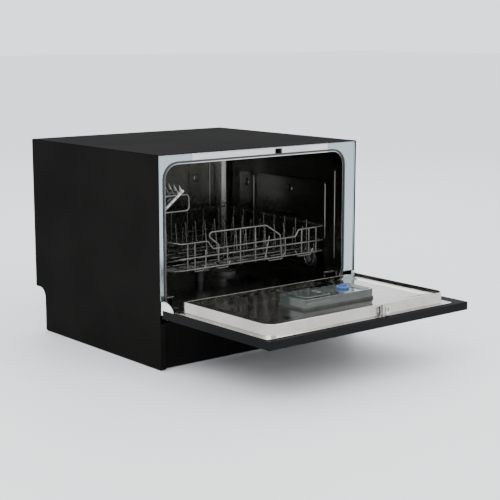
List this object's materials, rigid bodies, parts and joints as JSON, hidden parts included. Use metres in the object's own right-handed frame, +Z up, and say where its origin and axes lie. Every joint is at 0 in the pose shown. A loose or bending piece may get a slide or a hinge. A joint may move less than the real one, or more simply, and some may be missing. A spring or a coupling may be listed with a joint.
{
  "type": "compact built-in dishwasher",
  "caption": "Compact built-in dishwasher with a drop-down door, steel tub, wheeled wire basket, folding cup shelves, spray arm and detergent dispenser.",
  "frame": {"origin": "on the floor, in the middle of the cabinet's footprint, on the underside of the base tray", "axes": "+Z up, +Y towards the cabinet's rear, so the door opens towards -Y"},
  "size_m": [0.55, 0.8617, 0.446],
  "materials": {
    "black_paint": "satin black enamel",
    "stainless": "bright brushed stainless",
    "tub_steel": "dark reflective stainless",
    "wire": "nylon coated grey wire",
    "grey_plastic": "moulded grey",
    "dark_plastic": "moulded black",
    "white_plastic": "moulded white",
    "rubber": "soft matt",
    "zinc": "zinc plated",
    "blue_plastic": "moulded blue",
    "board": "solder mask"
  },
  "bodies": {
    "cabinet": {"top_panel": "black_paint", "side_panel_left": "black_paint", "side_panel_right": "black_paint", "rear_panel": "black_paint", "kick_plate": "black_paint", "base_tray": "dark_plastic", "front_frame": "stainless", "tub": "tub_steel", "door_gasket": "rubber", "rack_rail_left": "tub_steel", "rack_rail_right": "tub_steel", "latch_housing": "dark_plastic", "sump": "dark_plastic", "filter_plate": "stainless", "spray_hub": "dark_plastic", "wash_pump": "dark_plastic", "flow_heater": "zinc", "drain_pump": "grey_plastic", "softener_tank": "grey_plastic", "water_path": "white_plastic", "inlet_valve": "zinc", "drain_spigot": "grey_plastic", "cord_gland": "dark_plastic", "hinge_bracket_left": "zinc", "hinge_bracket_right": "zinc"},
    "door": {"door_outer_panel": "black_paint", "door_inner_pan": "stainless", "hinge_arm_left": "zinc", "hinge_arm_right": "zinc", "hinge_cover_left": "white_plastic", "hinge_cover_right": "white_plastic", "dispenser_body": "dark_plastic", "door_strike": "zinc", "control_board": "board", "display_window": "dark_plastic"},
    "detergent_lid": {"detergent_lid": "grey_plastic"},
    "rinse_aid_cap": {"rinse_aid_cap": "blue_plastic"},
    "push_button_1": {"push_button_1": "dark_plastic"},
    "push_button_2": {"push_button_2": "dark_plastic"},
    "basket": {"basket_floor": "wire", "basket_front": "wire", "basket_rear": "wire", "basket_left": "wire", "basket_right": "wire", "tine_bank_front": "wire", "tine_bank_rear": "wire", "wheel_carrier_left": "wire", "wheel_carrier_right": "wire", "shelf_frame": "wire"},
    "cup_shelf_front": {"cup_shelf_front": "grey_plastic"},
    "cup_shelf_rear": {"cup_shelf_rear": "grey_plastic"},
    "spray_arm": {"spray_arm": "grey_plastic"},
    "filter_cup": {"filter_cup": "grey_plastic"},
    "salt_cap": {"salt_cap": "dark_plastic"},
    "wheel_left_1": {"wheel_left_1": "dark_plastic"},
    "wheel_left_2": {"wheel_left_2": "dark_plastic"},
    "wheel_left_3": {"wheel_left_3": "dark_plastic"},
    "wheel_right_1": {"wheel_right_1": "dark_plastic"},
    "wheel_right_2": {"wheel_right_2": "dark_plastic"},
    "wheel_right_3": {"wheel_right_3": "dark_plastic"}
  },
  "joints": [
    {"name": "door_hinge", "type": "hinge", "parent": "cabinet", "child": "door", "pos_m": [0, -0.26575, 0.11675], "axis": [1, 0, 0], "range_deg": [-90, 0]},
    {"name": "basket_slide", "type": "slide", "parent": "cabinet", "child": "basket", "axis": [0, -1, 0], "range_m": [0, 0.345]},
    {"name": "wheel_left_1_spin", "type": "hinge", "parent": "basket", "child": "wheel_left_1", "pos_m": [-0.242, -0.1605, 0.1648], "axis": [1, 0, 0], "range_deg": [-5, 1170]},
    {"name": "wheel_left_2_spin", "type": "hinge", "parent": "basket", "child": "wheel_left_2", "pos_m": [-0.242, -0.0315, 0.1648], "axis": [1, 0, 0], "range_deg": [-5, 1170]},
    {"name": "wheel_left_3_spin", "type": "hinge", "parent": "basket", "child": "wheel_left_3", "pos_m": [-0.242, 0.0975, 0.1648], "axis": [1, 0, 0], "range_deg": [-5, 1170]},
    {"name": "wheel_right_1_spin", "type": "hinge", "parent": "basket", "child": "wheel_right_1", "pos_m": [0.222, -0.1605, 0.1648], "axis": [1, 0, 0], "range_deg": [-5, 1170]},
    {"name": "wheel_right_2_spin", "type": "hinge", "parent": "basket", "child": "wheel_right_2", "pos_m": [0.222, -0.0315, 0.1648], "axis": [1, 0, 0], "range_deg": [-5, 1170]},
    {"name": "wheel_right_3_spin", "type": "hinge", "parent": "basket", "child": "wheel_right_3", "pos_m": [0.222, 0.0975, 0.1648], "axis": [1, 0, 0], "range_deg": [-5, 1170]},
    {"name": "cup_shelf_front_fold", "type": "hinge", "parent": "basket", "child": "cup_shelf_front", "pos_m": [-0.2314, -0.1615, 0.3257], "axis": [0, 1, 0], "range_deg": [-50, 0]},
    {"name": "cup_shelf_rear_fold", "type": "hinge", "parent": "basket", "child": "cup_shelf_rear", "pos_m": [-0.2314, 0.0485, 0.3257], "axis": [0, 1, 0], "range_deg": [-50, 0]},
    {"name": "spray_arm_spin", "type": "hinge", "parent": "cabinet", "child": "spray_arm", "pos_m": [-0.01, -0.03425, 0.152], "axis": [0, 0, 1], "continuous": true},
    {"name": "filter_twist", "type": "hinge", "parent": "cabinet", "child": "filter_cup", "pos_m": [0.085, -0.00425, 0.132], "axis": [0, 0, 1], "range_deg": [0, 60]},
    {"name": "salt_cap_twist", "type": "hinge", "parent": "cabinet", "child": "salt_cap", "pos_m": [-0.14, 0.07575, 0.124], "axis": [0, 0, 1], "range_deg": [0, 540]},
    {"name": "detergent_lid_hinge", "type": "hinge", "parent": "door", "child": "detergent_lid", "pos_m": [-0.09, -0.4575, 0.1696], "axis": [0, 1, 0], "range_deg": [-110, 0]},
    {"name": "rinse_aid_twist", "type": "hinge", "parent": "door", "child": "rinse_aid_cap", "pos_m": [0.04, -0.4575, 0.1663], "axis": [0, 0, 1], "range_deg": [0, 90]},
    {"name": "push_button_1_press", "type": "slide", "parent": "door", "child": "push_button_1", "axis": [0, 0, 1], "range_m": [0, 0.0015], "stiffness_N_per_m": 300, "springref_m": -0.0005},
    {"name": "push_button_2_press", "type": "slide", "parent": "door", "child": "push_button_2", "axis": [0, 0, 1], "range_m": [0, 0.0015], "stiffness_N_per_m": 300, "springref_m": -0.0005}
  ],
  "couplings": [
    {"joint": "wheel_left_1_spin", "follows": "basket_slide", "rad_per_m": 58.824},
    {"joint": "wheel_left_2_spin", "follows": "basket_slide", "rad_per_m": 58.824},
    {"joint": "wheel_left_3_spin", "follows": "basket_slide", "rad_per_m": 58.824},
    {"joint": "wheel_right_1_spin", "follows": "basket_slide", "rad_per_m": 58.824},
    {"joint": "wheel_right_2_spin", "follows": "basket_slide", "rad_per_m": 58.824},
    {"joint": "wheel_right_3_spin", "follows": "basket_slide", "rad_per_m": 58.824}
  ]
}
